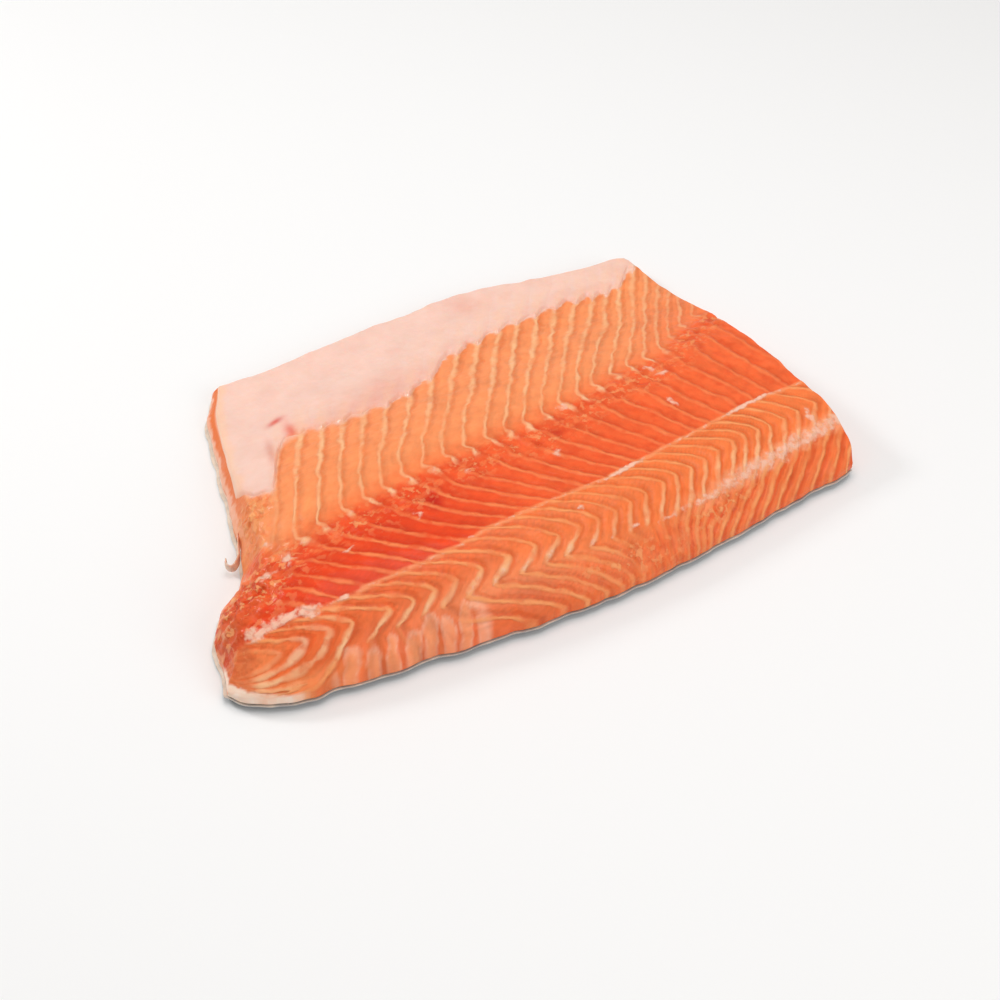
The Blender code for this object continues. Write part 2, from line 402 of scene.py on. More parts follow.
def side_bands(x, y):
    """Broad pale upright fingers on the back, between the upper streak and the skin, near the head."""
    place = x + 0.05 * (y + 88) ** 2 + 2.6 * ripple(x, y * 0.4, 15, 39) + 0.8 * ripple(x, y, 5, 28)
    across = np.abs(place / FINGER_PITCH - np.round(place / FINGER_PITCH)) * 2
    tip = streak_row(x) + 2.5 * ripple(x, y, 12, 40)
    across = np.hypot(across, np.clip((y - tip + 4) / 4, 0, 2))     # the fingers end in round tips
    where = ease(-108, -96, x) * ease(-34, -50, x)
    strength = 0.8 + 0.25 * ripple(x, y, 9, 26)
    return where * strength * ease(1.0, 0.35, across + 0.30 * rough(x, y, 7, 27))


def band_edges(bands):
    """The thin lighter rim of every finger."""
    return np.clip(1 - np.abs(bands - 0.4) / 0.35, 0, 1)


# %% Colours of the regions
def region_tint(x, y, below_hooks, below_middle):
    """Belly, red band, loin and side, before the flakes get their own tone."""
    above_hooks = -below_hooks
    tint = blend(BELLY_LOW, BELLY, ease(1, 14, above_hooks))
    tint = blend(tint, BELLY_LOW, 0.7 * ease(75, 115, x) * ease(40, 10, above_hooks))
    band = blend(BAND_HEAD, BAND_MIDDLE, ease(-50, 5, x + 6 * rough(x, y, 20, 45)))
    band = blend(band, BAND_TAIL, ease(30, 110, x))
    band = blend(band, BAND_MIDDLE, 0.5 * ease(14, 3, below_hooks) * ease(20, -30, x))
    tint = blend(tint, band, ease(-2.5, 3.5, below_hooks))
    loin = blend(LOIN_HEAD, LOIN_MIDDLE, ease(-60, 20, x))
    tint = blend(tint, loin, ease(-0.8, 0.8, below_middle))
    # Deeper orange below the upper streak: partly the side's own colour, partly painted shade on the
    # steep side.
    tint = blend(tint, SIDE, ease(0, 8, streak_row(x) - y) * (0.45 + 0.55 * ease(0, -60, x)))
    tint = blend(tint, SIDE_PALE, 0.8 * side_bands(x, y))
    tint = blend(tint, SIDE_PALE, 0.4 * spot(x, y, (-35, -85), (45, 6)))
    tint = blend(tint, FAT_PINK, 0.5 * band_edges(side_bands(x, y)))
    beside_streak = np.abs(y - streak_row(x) + 1.2 * rough(x, y, 8, 42))
    tint = blend(tint, STREAK_PINK, 0.7 * ease(40, 85, x) * ease(5.2, 2.0, beside_streak))
    tint = blend(tint, BELLY, 0.6 * spot(x, y, (-124, -76.5), (9, 3.2), -6))
    tint = blend(tint, BELLY, 0.7 * spot(x, y, (-116, -89), (24, 3.5), -6))
    collar = np.maximum(spot(x, y, (-122, -50), (19, 12), 24), 0.8 * spot(x, y, (-110, -31), (6, 9), 20))
    return blend(tint, COLLAR, ease(0.2, 0.7, collar + 0.1 * rough(x, y, 6, 44)))


# %% Tone and painted shade inside the flakes
def flesh_tint(x, y, number, pitch):
    """Painted shade: a flake is lightest in its middle and deepest just behind the wall on its head side.
    """
    below_hooks = hook_row(x) - y - 1.6 * rough(x, y, 8, 41)
    below_middle = middle_row(x) - y + 0.5 * rough(x, y, 6, 43)
    tint = region_tint(x, y, below_hooks, below_middle)
    share = number - np.floor(number)
    across = from_wall(number, pitch)
    # Painted shading: lighter on each flake's dome, and a painted shadow just behind each raised wall.
    tone = 0.08 * np.sin(np.pi * share) - 0.12 * np.exp(-((across - 2.0) / 1.4) ** 2)
    # Painted shade: deeper red just behind each wall in the side band towards the tail.
    flame_shade_zone = ease(10, 50, x) * ease(1, 5, streak_row(x) - y)
    tint = blend(tint, BAND_MIDDLE, 0.6 * flame_shade_zone * np.exp(-((across - 2.4) / 1.7) ** 2))
    tone = tone + rough(x, y, 14, 47) * 0.07 + rough(x, y, 5, 49) * 0.05
    tone = tone + (0.05 + 0.07 * (below_middle > 0)) * fibre_streaks(y, number)
    in_band = ease(-1, 3, below_hooks) * (below_middle < 0)
    deeper = 0.40 * np.clip(rough(x, y, 6, 50), 0, 1) * in_band
    tint = tint * (1 + tone)[..., None]
    tint = blend(tint, BAND_HEAD * 0.92, deeper)
    # Pale scraps of torn muscle lie below the hooks.
    scraps = ease(0.15, 0.6, rough(x, y * 1.6, 6.5, 46)) * np.exp(-((below_hooks - 8) / 7) ** 2)
    tint = blend(tint, WALL_BAND, 0.6 * scraps * in_band * ease(-108, -98, x))
    return blend(tint, SEPTUM, 0.8 * ease(1.3, 0.3, np.abs(below_middle)) * ease(-125, -90, x))


# %% Blood, fat and torn tissue
BLOOD_SPOTS = [((-38, -42), (3.5, 4.5), 0.9), ((25.5, -27), (3.5, 3), 0.5), ((30, -20), (2, 1.2), 0.5),
               ((-60, -46), (6, 3), 0.35)]
FAT_SPOTS = [((-100, -42), (2.4, 4.5)), ((-78, -51), (3.2, 1.2)), ((-47, -47), (1.4, 2.6)),
             ((-104, -27), (3, 3)), ((-17.5, -33), (2.6, 2)), ((19, -38.5), (2.5, 1.8)),
             ((35.5, -13), (3.4, 2)), ((85.5, -11), (3.4, 1.9)), ((79, -30), (1.5, 3.6)),
             ((-110, -45), (5, 2)), ((-92, -37), (1.5, 2.2)), ((14, -69.5), (1.4, 1)),
             ((129, -61), (1.8, 4.6)), ((82, -5), (3, 2)), ((31, -82), (2.6, 1.4))]


def hook_fat(x, y, number):
    """Cream knots where the belly lines end at the hooks."""
    x, y = x + 1.1 * ripple(x, y, 3.5, 54), y + 1.1 * ripple(x, y, 3.5, 56)
    to_hook = y - hook_row(x) + 1.5
    to_line = (number - np.round(number)) * SEGMENT - 0.4 * to_hook
    return np.exp(-(to_hook / 2.4) ** 2 - (to_line / 1.5) ** 2) * ease(-105, -85, x) * ease(105, 80, x)


def fat_cover(x, y, number):
    """Share of white fat: the wedge and line over the backbone, the upper streak, knots and flecks."""
    wedge = np.clip((-83 - x) / 36, 0, 1) * ease(-137, -124, x)
    bright = np.maximum(spot(x, y, (38, -58), (9, 3), 12), spot(x, y, (108, -44.5), (11, 3), 8))
    to_middle = np.abs(y - middle_row(x) - 2.0 * wedge + 0.7 * rough(x, y, 6, 58))
    line = (0.40 + 0.8 * bright) * ease(1.3 + 0.9 * bright, 0.2, to_middle)
    torn_edge = to_middle + 2.1 * rough(x * 0.35, y, 3.2, 51) + 0.6 * ripple(x * 0.5, y, 1.6, 52)
    threads = ripple(0.3 * x + 0.1 * y, y - 0.25 * x, 1.5, 64)
    wedge_fat = (0.70 + 0.24 * rough(x * 0.6, y, 6, 48) + 0.20 * threads) * ease(0, 0.12, wedge)
    wedge_fat = wedge_fat * ease(0.7 + 5.0 * wedge, 2.0 * wedge - 0.8, torn_edge)
    fat = np.maximum(line, wedge_fat)
    streak = ease(45, 100, x)
    to_streak = np.abs(y - streak_row(x) + 0.9 * rough(x, y, 9, 53) + 0.7 * ripple(x, y, 3, 55))
    fat = np.maximum(fat, (0.50 + 0.20 * streak) * ease(1.6 + 4.6 * streak, 0.2, to_streak)
                     * ease(20, 55, x + 8 * rough(x, y, 12, 57)))
    u, v = x + 1.4 * ripple(x, y, 3.2, 65), y + 1.4 * ripple(x, y, 3.2, 67)
    for centre, radii in FAT_SPOTS:
        fat = np.maximum(fat, 0.8 * spot(u, v, centre, radii))
    fat = np.maximum(fat, 0.35 * hook_fat(x, y, number))
    # The return strokes of the loin end in bright fatty knots.
    knots = spot(x, y, (-10, -83), (70, 3.2), 0) * np.exp(-(from_wall(number, SEGMENT) / 1.6) ** 2)
    return np.maximum(fat, 0.55 * knots)


def torn_cover(x, y):
    """Share of torn, knobbly tissue: the collar, the upper red band and two patches on the back."""
    collar = np.maximum(spot(x, y, (-121, -48), (28, 15), 24), 0.95 * spot(x, y, (-101, -5), (9, 9)))
    collar = np.maximum(collar, 0.7 * spot(x, y, (-106, -18), (6, 10), -12))
    gullet = np.exp(-((y - hook_row(x) + 8) / 8) ** 2) * (0.45 + 0.4 * ripple(x, y, 17, 59))
    gullet = gullet * ease(-100, -85, x)
    back = np.maximum(0.7 * spot(x, y, (72, -83), (19, 5), 14), 0.6 * spot(x, y, (25, -92), (26, 4.5)))
    streak = 0.5 * ease(60, 95, x) * np.exp(-((y - streak_row(x)) / 4) ** 2)
    return np.clip(np.maximum(np.maximum(collar, gullet), np.maximum(back, streak)), 0, 1)


# %% [markdown]
# ## Strength of the pale walls
# The walls are clear and wide on the belly, thin in the red band, bright at the points and return strokes
# of the loin, and lost in the torn patches.

# %% Wall strength, width and colour
def at_hooks(x, y):
    """1 along the row of hooks, where the walls end in bright knots."""
    return np.exp(-((y - hook_row(x) + 1.2 + 1.5 * rough(x, y, 6, 62)) / 3.2) ** 2)


def wall_strength(x, y, number):
    """How clearly a wall shows, 0 to 1: by region, then wall by wall, then broken along its length."""
    above_hooks = y - hook_row(x)
    belly = 0.64 + 0.2 * ease(20, 60, above_hooks) - 0.15 * ease(60, 120, x)
    band = (0.75 - 0.2 * ease(0, 70, x)) * ease(2, 14, -above_hooks) + 0.12
    returns = 0.9 + 0.1 * ease(point_row(x), streak_row(x), y)
    lost = 0.8 * ease(-40, -54, x) * ease(-104, -94, x)
    side = 0.95 * (1 - spot(x, y, (38, -90), (14, 12))) * (1 - lost)
    strength = np.where(above_hooks > 0, belly, band)
    strength = np.where(y < middle_row(x), 0.9, strength)
    strength = np.where(y < point_row(x), returns, strength)
    strength = np.where(y < streak_row(x), side, strength)
    each = np.random.default_rng(61).uniform(0.75, 1.1, 80)
    strength = strength * each[np.clip(np.round(number).astype(int) + 30, 0, 79)]
    breaks = 1 + 0.40 * rough(x, y, 10, 63)
    head = ease(-108, -98, x - 0.3 * y - 12) * (y > middle_row(x)) + (y <= middle_row(x))
    strength = strength * (1 - 0.7 * spot(x, y, (-125, -76.5), (9, 3.5), -6))
    strength = strength * (1 - 0.45 * spot(x, y, (30, -74), (26, 9), 12))
    hooks = at_hooks(x, y) * ease(-106, -92, x) * ease(108, 85, x)
    return np.clip(np.maximum(strength * breaks * head, hooks), 0, 1)


def wall_width(x, y):
    """Width of a wall in millimetres."""
    above_hooks = y - hook_row(x)
    belly = 1.3 + 1.0 * ease(15, 60, above_hooks)
    width = np.where(above_hooks > 0, belly, 1.7)
    width = np.where(y < middle_row(x), 1.4, width)
    width = np.where(y < point_row(x), 1.7, width)
    width = width + 1.2 * spot(x, y, (-110, -81), (16, 6), 8) + 0.6 * spot(x, y, (-32, -82), (45, 5))
    width = width + 1.3 * at_hooks(x, y) * ease(0.1, 0.7, rough(x, y, 7, 66) + 0.5)
    return width * (1 + 0.40 * rough(x, y, 8, 69))


def wall_tint(x, y):
    line = blend(WALL_BAND, WALL_BELLY, ease(-4, 4, y - hook_row(x)))
    line = blend(line, WALL_LOIN, ease(1, -1, y - middle_row(x)))
    knots = 0.85 * ease(point_row(x) + 2, streak_row(x) + 1, y) * ease(-1, 3, y - streak_row(x))
    line = blend(line, FAT_PINK, 0.6 * spot(x, y, (-110, -80), (14, 5), 8))
    return blend(line, CREAM, np.maximum(knots, 0.9 * at_hooks(x, y)))


# %% [markdown]
# ## Meshes from grids
# A dense grid is quickest to make from number arrays: places of the points, corners of the quads, and
# one value for each corner of each quad for every painted field. Fields are stored on face corners, not
# on points, so that the top and a cut face can share an edge and still be painted differently. A piece
# is a few such panels, welded where their edges meet.

# %% Panels and their painted fields
WELD_DISTANCE = 0.02 * MM
SHARP_ANGLE = 50
COLOUR_FIELDS = ("tint", "line")


def painted(grid, **fields):
    """Spread each field over its grid; there is no fat and no torn tissue unless it is given."""
    fields = {**fields, "fat": fields.get("fat", 0.0), "torn": fields.get("torn", 0.0)}
    shapes = {name: grid + (3,) if name in COLOUR_FIELDS else grid for name in fields}
    return {name: np.broadcast_to(value, shapes[name]) for name, value in fields.items()}


def grid_quads(columns, rows, first):
    i, j = np.meshgrid(np.arange(columns - 1), np.arange(rows - 1), indexing="ij")
    corner = first + i * rows + j
    return np.stack([corner, corner + rows, corner + rows + 1, corner + 1], -1).reshape(-1, 4)


# %% Mesh helpers
def paint_corners(mesh, field, values):
    """Store one value for each face corner; a colour gets an opaque alpha."""
    if field in COLOUR_FIELDS:
        layer, key = mesh.attributes.new(field, "FLOAT_COLOR", "CORNER"), "color"
        values = np.concatenate([values, np.ones((len(values), 1))], 1)
    else:
        layer, key = mesh.attributes.new(field, "FLOAT", "CORNER"), "value"
    layer.data.foreach_set(key, np.ascontiguousarray(values, np.float32).ravel())


def weld_and_close(mesh):
    """Join the panels' shared edges, fill what is still open and turn every face outwards."""
    weld = bmesh.new()
    weld.from_mesh(mesh)
    bmesh.ops.remove_doubles(weld, verts=weld.verts, dist=WELD_DISTANCE)
    holes = [edge for edge in weld.edges if edge.is_boundary]
    if holes:
        bmesh.ops.holes_fill(weld, edges=holes, sides=0)
    bmesh.ops.recalc_face_normals(weld, faces=weld.faces)
    weld.to_mesh(mesh)
    weld.free()


def mesh_from_panels(name, panels):
    """Join panels, each (places, fields) with millimetre places of shape (3, columns, rows)."""
    points, quads, first = [], [], 0
    for places, _ in panels:
        _, columns, rows = places.shape
        quads.append(grid_quads(columns, rows, first))
        points.append(np.moveaxis(places, 0, -1).reshape(-1, 3) * MM)
        first += columns * rows
    points, quads = np.concatenate(points), np.concatenate(quads)
    mesh = bpy.data.meshes.new(name)
    mesh.from_pydata(points.tolist(), [], quads.tolist())
    for field in panels[0][1]:
        values = [fields[field].reshape(places[0].size, -1) for places, fields in panels]
        paint_corners(mesh, field, np.concatenate(values)[quads.ravel()])
    weld_and_close(mesh)
    mesh.shade_smooth()
    mesh.set_sharp_from_angle(angle=radians(SHARP_ANGLE))
    piece = bpy.data.objects.new(name, mesh)
    bpy.context.scene.collection.objects.link(piece)
    print(name, "faces:", len(mesh.polygons))
    return piece


# %% [markdown]
# ## The flesh
# Its top is one grid over the patch. Relief comes from the flake number: every flake is slightly
# domed, the wall lies in a shallow groove, and one edge of each flake stands proud, as loose flakes do.
# Torn tissue gets coarse noise and the fat streaks stand out a little. The lining covers the belly, so
# the relief fades out under it.

# %% Top of the flesh
HEAD_MARGIN, BACK_MARGIN, BELLY_MARGIN = 1.7, 0.8, 0.4
FLESH_COLUMNS, FLESH_ROWS = 380, 215
STEEP_PART = 15.0        # millimetres at the head cut that get a fifth of the columns
ROUNDED_PART, CROWDING = 0.36, 0.020      # rows crowd together over this share of the width


def flesh_relief(x, y, number, pitch, fat, torn, cover):
    """Height in millimetres above the smooth slab: ridges at the walls, torn lumps, soft waves."""
    across = from_wall(number, pitch)
    share = number - np.floor(number)
    loin = ease(1, -1, y - middle_row(x))
    ridge = np.exp(-(across / 0.9) ** 2) - (0.6 + 0.5 * loin) * np.exp(-((across - 2.0) / 1.2) ** 2)
    relief = (0.10 + 0.12 * loin) * ridge + (0.14 + 0.14 * loin) * (np.sin(np.pi * share) - 0.6)
    relief = relief * (1 - torn) * ease(3, -2, cover)
    lumps = 0.95 * rough(x, y, 4.6, 71, layers=3) + 0.6 * ripple(x, y, 11, 75)
    waves = 0.35 * rough(x, y, 34, 77, layers=2) + 0.10 * ripple(x, y, 4, 79) * ease(1, -3, cover)
    lumps = lumps * (1 + 0.8 * spot(x, y, (-120, -49), (24, 15), 24))
    relief = relief + 0.05 * fibre_streaks(y, number) * ease(1, -2, cover)
    fingers = 0.35 * (side_bands(x, y) - 0.4)
    return relief + fingers + torn * lumps + 0.35 * np.clip(fat, 0, 1) * ease(4, 0, cover) + waves


# %% Paint of the head cut and of the fat on the skin
def paint_head_cut(tint, x, y, t, cut, along_cut):
    """The slanting cut: pink fat over the belly, painted brown shade and cream beside the back."""
    cut_share = along_cut + 0.15 * rough(x, y, 5, 37)
    tint = blend(tint, CUT_FACE, cut * ease(0.33, 0.45, t))
    tint = blend(tint, FAT_PINK, 0.8 * ease(0.55, 0.35, cut_share) * ease(0.36, 0.5, t))
    # Painted shade: the head cut beside the back is darkened towards brown.
    tint = blend(tint, BROWN_MUSCLE_AND_SHADE, 0.45 * cut * ease(0.2, 0.12, t))
    tint = blend(tint, WALL_LOIN, 0.6 * spot(x, y, (-104, -7), (9, 12), -12))
    cream = ease(0.1, 0.7, rough(x, y * 0.7, 4, 24)) * ease(0.9, 0.5, cut_share)
    return blend(tint, CREAM, 0.5 * cream * ease(0.34, 0.26, t) * ease(0.06, 0.12, t))


def fat_on_skin(x, y, t, places):
    """Share of the fat that lies against the skin along the back near the head."""
    height = places[2] - skin_bottom(t) - SKIN_THICKNESS
    reach = 0.9 + 4.6 * ease(-96, -134, x) + 1.4 * spot(x, 0 * y, (-72, 0), (12, 9))
    strip = height + 0.7 * rough(x * 0.5, y, 5, 38) + 0.25 * ripple(x, y, 2, 29)
    return ease(reach + 0.8, reach - 0.4, strip) * ease(-30, -60, x) * ease(0.1, 0.05, t)


def top_fields(x, y, s, t, number, places):
    """All painted fields of the top, from the muscle's tint to the lining that shows through."""
    pitch = surface_pitch(places, number)
    torn = torn_cover(x, y)
    tint = flesh_tint(x, y, number, pitch)
    for centre, radii, share in BLOOD_SPOTS:
        tint = blend(tint, BLOOD, share * spot(x, y, centre, radii))
    along_cut = s * PATCH_LENGTH / head_bevel(t)
    cut = ease(1.15, 0.8, along_cut)
    tint = paint_head_cut(tint, x, y, t, cut, along_cut)
    strip = fat_on_skin(x, y, t, places)
    tint = blend(tint, SKIN_FAT, strip)
    membrane = membrane_share(x, y, number)
    tint = blend(tint, LINING, membrane * (1 - cut))
    wall = wall_strength(x, y, number) * (1 - 0.75 * torn) * (1 - 0.8 * cut) * (1 - 0.6 * strip)
    return painted(x.shape, tint=tint, flake=number, pitch=pitch, wall=wall * (1 - 0.7 * membrane),
                   width=wall_width(x, y) * (1 + membrane), line=wall_tint(x, y),
                   fat=fat_cover(x, y, number) * (1 - cut), torn=torn)


# %% Mesh of the top
def top_grid():
    """Patch coordinates, closer together on the steep head cut and along the rounded back."""
    start, steep = HEAD_MARGIN / PATCH_LENGTH, STEEP_PART / PATCH_LENGTH
    cut_columns = FLESH_COLUMNS // 5
    s = np.concatenate([start + (steep - start) * np.linspace(0, 1, cut_columns, endpoint=False) ** 1.6,
                        np.linspace(steep, 1, FLESH_COLUMNS - cut_columns)])
    t = np.linspace(BACK_MARGIN / PATCH_WIDTH, 1 - BELLY_MARGIN / PATCH_WIDTH, FLESH_ROWS)
    along_round = np.clip(t / ROUNDED_PART, 0, 1)
    t = t - CROWDING * np.sin(2 * np.pi * along_round) * ease(ROUNDED_PART, 0.0, t)
    return np.meshgrid(s, t, indexing="ij")


def make_flesh_top():
    s, t = top_grid()
    x, y = plan(s, t)
    smooth = np.stack([*ragged(x, y, s, t), flesh_top(s, t)])
    number = flake_number(x, y)
    fields = top_fields(x, y, s, t, number, smooth)
    cover = lining_cover(x, y, number)
    relief = flesh_relief(x, y, number, fields["pitch"], fields["fat"], fields["torn"], cover)
    rim = np.minimum(ease(0, 0.02, t - t.min()), ease(0, 0.012, s - s.min()))
    lift = relief * (0.15 + 0.85 * rim)
    along, across = np.gradient(smooth, axis=(1, 2))
    normal = np.cross(along, across, axis=0)
    normal /= np.linalg.norm(normal, axis=0)
    places = smooth + normal * lift
    places[:2, -1] = smooth[:2, -1]      # the last column stays upright over the tail cut
    return places, fields, t


flesh_places, flesh_fields, flesh_t = make_flesh_top()
print("flesh top (mm):", flesh_places.min((1, 2)).round(1), flesh_places.max((1, 2)).round(1))

# %% [markdown]
# ## The cut faces
# The tail cut is upright and shows the cones from the side, as rings round two centres, one above and
# one below the line that ran to the backbone. A brown wedge of dark muscle and a thin pale fat layer
# lie against the skin. The belly edge shows only fat and a little flesh.

# %% Upright walls down to the skin
TAIL_STEPS, BELLY_STEPS, HEAD_STEPS, BACK_STEPS = 22, 9, 10, 3
RING_SPACING = 3.6       # millimetres between the rings on the tail cut


def wall_down(edge, t, steps):
    """Places on an upright wall from a row of top places down to just above the skin."""
    drop = np.linspace(0, 1, steps)
    places = np.repeat(edge[:, :, None], steps, axis=2)
    floor_level = np.broadcast_to(skin_bottom(t) + SKIN_THICKNESS + LAYER_GAP, edge[2].shape)
    places[2] = edge[2][:, None] + (floor_level - edge[2])[:, None] * drop
    return places, np.broadcast_to(drop, places.shape[1:]), places[2] - floor_level[:, None]


def tail_wall():
    places, drop, above_skin = wall_down(flesh_places[:, -1, :], flesh_t[-1], TAIL_STEPS)
    y, z = places[1], places[2]
    loin = np.hypot((y + 61) / 1.5, (z - 11) * 1.15)
    belly = np.hypot((y + 16) / 2.1, (z - 13) * 1.1)
    flap = (y - 20) * 0.32 + z * 0.5 + 9
    rings = np.where(y < middle_row(130), loin, np.where(y < 12, belly, flap))
    number = 0.5 + (rings + 1.1 * rough(y, z, 11, 81)) / RING_SPACING
    tint = LOIN_MIDDLE * (1 + 0.12 * rough(y, z, 7, 83))[..., None]
    tint = blend(tint, BELLY, ease(0, 40, y))
    dark = ease(7, 1.5, above_skin + 0.16 * np.abs(y + 30) + 0.8 * rough(y, z, 5, 85))
    tint = blend(tint, BROWN_MUSCLE_AND_SHADE, 0.75 * dark)
    tint = blend(tint, LINING, ease(3.2, 1.2, above_skin) * ease(30, 70, y))
    fat = ease(1.5, 0.7, above_skin + 0.4 * rough(y, z, 6, 87))
    fat = np.maximum(fat, 0.8 * ease(1.0, 0.3, np.abs(y - middle_row(130) - 0.25 * (z - 23))))
    places[0] -= 0.25 * ripple(y, z, 6, 89) * np.sin(np.pi * drop)
    wall = (0.55 - 0.35 * dark) * (1 + 0.5 * rough(y, z, 8, 82))
    return places, painted(y.shape, tint=tint, flake=number, pitch=3.4, wall=wall, width=0.7,
                           line=WALL_LOIN, fat=fat)


def belly_wall():
    places, drop, above_skin = wall_down(flesh_places[:, :, -1], flesh_t[:, -1], BELLY_STEPS)
    x, z = places[0], places[2]
    tint = BELLY * (1 + 0.10 * rough(x, z * 3, 12, 91))[..., None]
    tint = blend(tint, FAT_PINK, 0.8 * ease(2.4, 0.6, above_skin + 0.8 * rough(x, z, 10, 93)))
    tint = blend(tint, LINING, ease(0.35, 0.1, drop))
    number = (x + 1.2 * z) / 5.0 + 0.3 * rough(x, z, 8, 95)
    places[1] += 0.3 * rough(x, z, 7, 97) * np.sin(np.pi * drop)
    fields = painted(x.shape, tint=tint, flake=number, pitch=5.0, wall=0.5, width=1.4,
                     line=WALL_BELLY, fat=ease(1.6, 0.4, above_skin))
    return places[:, ::-1, :], {k: v[::-1] for k, v in fields.items()}


def head_wall():
    places, drop, above_skin = wall_down(flesh_places[:, 0, ::-1], flesh_t[0, ::-1], HEAD_STEPS)
    y = places[1]
    fields = {k: np.repeat(v[0, ::-1][:, None], HEAD_STEPS, axis=1) for k, v in flesh_fields.items()}
    tint = blend(fields["tint"], CUT_FACE, 0.85 * ease(0, 0.35, drop))
    tint = tint * (1 + 0.10 * rough(y, 2 * above_skin, 5, 99))[..., None]
    tint = blend(tint, BELLY, 0.5 * ease(-0.2, 0.6, rough(y, above_skin * 1.5, 9, 94)))
    reach = 1.2 + 1.3 * ease(-20, 10, y)
    fat = ease(reach + 0.5, reach - 0.5, above_skin + 0.5 * rough(y, above_skin, 7, 98))
    fields["tint"] = blend(tint, SKIN_FAT, 0.85 * fat)
    fields["wall"] = fields["wall"] * ease(0.3, 0, drop)
    fields["fat"] = fields["fat"] * ease(0.4, 0, drop)
    places[0] -= 0.35 * rough(y, above_skin, 6, 96) * np.sin(np.pi * drop)
    return places, fields


def back_wall():
    """A short wall that goes on in the colours of the edge above it."""
    places, _, _ = wall_down(flesh_places[:, :, 0], flesh_t[:, 0], BACK_STEPS)
    return places, {k: np.repeat(v[:, :1], BACK_STEPS, axis=1) for k, v in flesh_fields.items()}


flesh = mesh_from_panels("flesh_muscle", [(flesh_places, flesh_fields), tail_wall(), belly_wall(),
                                          head_wall(), back_wall()])

# %% [markdown]
# ## The belly lining
# A membrane less than a millimetre thick covers the thin belly. It is its own piece, so that its edge
# really stands above the flesh. The grid reaches past the edge, and where the lining ends it dips under
# the flesh: the visible edge is where the two surfaces cross, with a finger along each wall.

# %% A sheet closed round its rim
def closed_sheet(name, top, bottom, upper, under, rim):
    """Join the two faces of a sheet by strips; rim holds the fields along the strips' lower edge."""
    panels = [(top, upper), (bottom[:, :, ::-1], {k: v[:, ::-1] for k, v in under.items()})]
    for where, turn in ((np.s_[:, 0], 1), (np.s_[-1, :], 1), (np.s_[:, -1], -1), (np.s_[0, :], -1)):
        strip = np.stack([sheet[(slice(None),) + where] for sheet in (top, bottom)], -1)[:, ::turn]
        fields = {k: np.stack([upper[k][where], rim[k][where]], 1)[::turn] for k in upper}
        panels.append((strip, fields))
    return mesh_from_panels(name, panels)


# %% Lining mesh
LINING_THICKNESS = 0.9
LINING_REACH = 9.0          # how far the hidden part goes under the flesh
HIDDEN_DEPTH = 0.9          # how deep it lies there
LINING_BACK = 1.2           # its lower face is this far under the flesh's surface
LINING_COLUMNS, LINING_ROWS = 300, 100


def lining_start(s):
    """t where the grid begins: a little on the loin's side of the lining's edge."""
    t = np.linspace(0.3, 1, 400)
    x, y = plan(*np.meshgrid(s, t, indexing="ij"))
    inside = y - lining_row(x) + LINING_REACH > 0
    return t[np.argmax(inside, axis=1)]


def make_lining():
    start = (HEAD_BEVEL_BELLY - 0.8) / PATCH_LENGTH
    s = np.linspace(start, 1 - 0.3 / PATCH_LENGTH, LINING_COLUMNS)
    last = 1 - (BELLY_MARGIN + 0.2) / PATCH_WIDTH
    low = np.minimum(lining_start(s), last - 0.05)
    share = np.linspace(0, 1, LINING_ROWS)
    t = low[:, None] + (last - low[:, None]) * share
    s = np.broadcast_to(s[:, None], t.shape)
    x, y = plan(s, t)
    number = flake_number(x, y)
    cover = lining_cover(x, y, number)
    pitch = surface_pitch(np.stack([x, y, flesh_top(s, t)]), number)
    inner = ease(-0.8, 3.2, cover) * ease(0, 1.5, (s - start) * PATCH_LENGTH)
    wrinkles = 0.10 * ripple(x * 0.35, y, 5, 101) + 0.26 * rough(x, y, 22, 103)
    wrinkles = wrinkles + 0.16 * np.exp(-(from_wall(number, pitch) / 1.4) ** 2) * ease(30, 4, cover)
    shown = HIDDEN_DEPTH + LAYER_GAP + LINING_THICKNESS * 0.7 + wrinkles
    thickness = -HIDDEN_DEPTH + shown * inner
    edge = np.minimum(ease(1.0, 0.994, t), ease(1.0, 0.996, s))
    shifted = ragged(x, y, s, t)
    top = np.stack([*shifted, flesh_top(s, t) + thickness * (0.35 + 0.65 * edge)])
    bottom = np.stack([*shifted, flesh_top(s, t) - LINING_BACK])
    pink = 0.75 * spot(x, y, (-25, 42), (26, 12), 18) + 0.5 * spot(x, y, (40, 88), (12, 7))
    pink = np.clip(pink + 0.30 * ease(14, 2, cover) + 0.15 * rough(x, y, 12, 107), 0, 1)
    covered = blend(LINING, LINING_PINK, pink) * (1 + 0.03 * rough(x, y, 16, 105))[..., None]
    # Creamier within a few millimetres of the head cut: partly the membrane's cream edge, partly a
    # painted highlight along it.
    from_cut = (s - start) * PATCH_LENGTH + 2 * rough(x, y, 9, 109)
    covered = blend(covered, CREAM, 0.4 * ease(7, 2, from_cut))
    # A darker pink streak along a notch in the lining's edge: pink tissue with painted shade in the
    # notch.
    covered = blend(covered, screen(214, 132, 112), 0.6 * spot(x, y, (-81.5, 26), (1.8, 10), -10))
    covered = blend(covered, BLOOD_PINK, spot(x, y, (-71.5, 48.5), (4.2, 1.8), 25))
    covered = blend(covered, screen(236, 112, 88), 0.9 * spot(x, y, (-68.5, 35), (2.4, 9), -4))
    membrane = membrane_share(x, y, number)
    tint = blend(flesh_tint(x, y, number, pitch), covered, membrane)
    wall = wall_strength(x, y, number) * (1 - 0.7 * membrane) * ease(34, 6, cover)
    fields = painted(x.shape, tint=tint, flake=number, pitch=pitch, wall=wall,
                     width=wall_width(x, y) * (1 + membrane), line=wall_tint(x, y))
    return closed_sheet("lining_membrane", top, bottom, fields, fields, fields)


lining = make_lining()

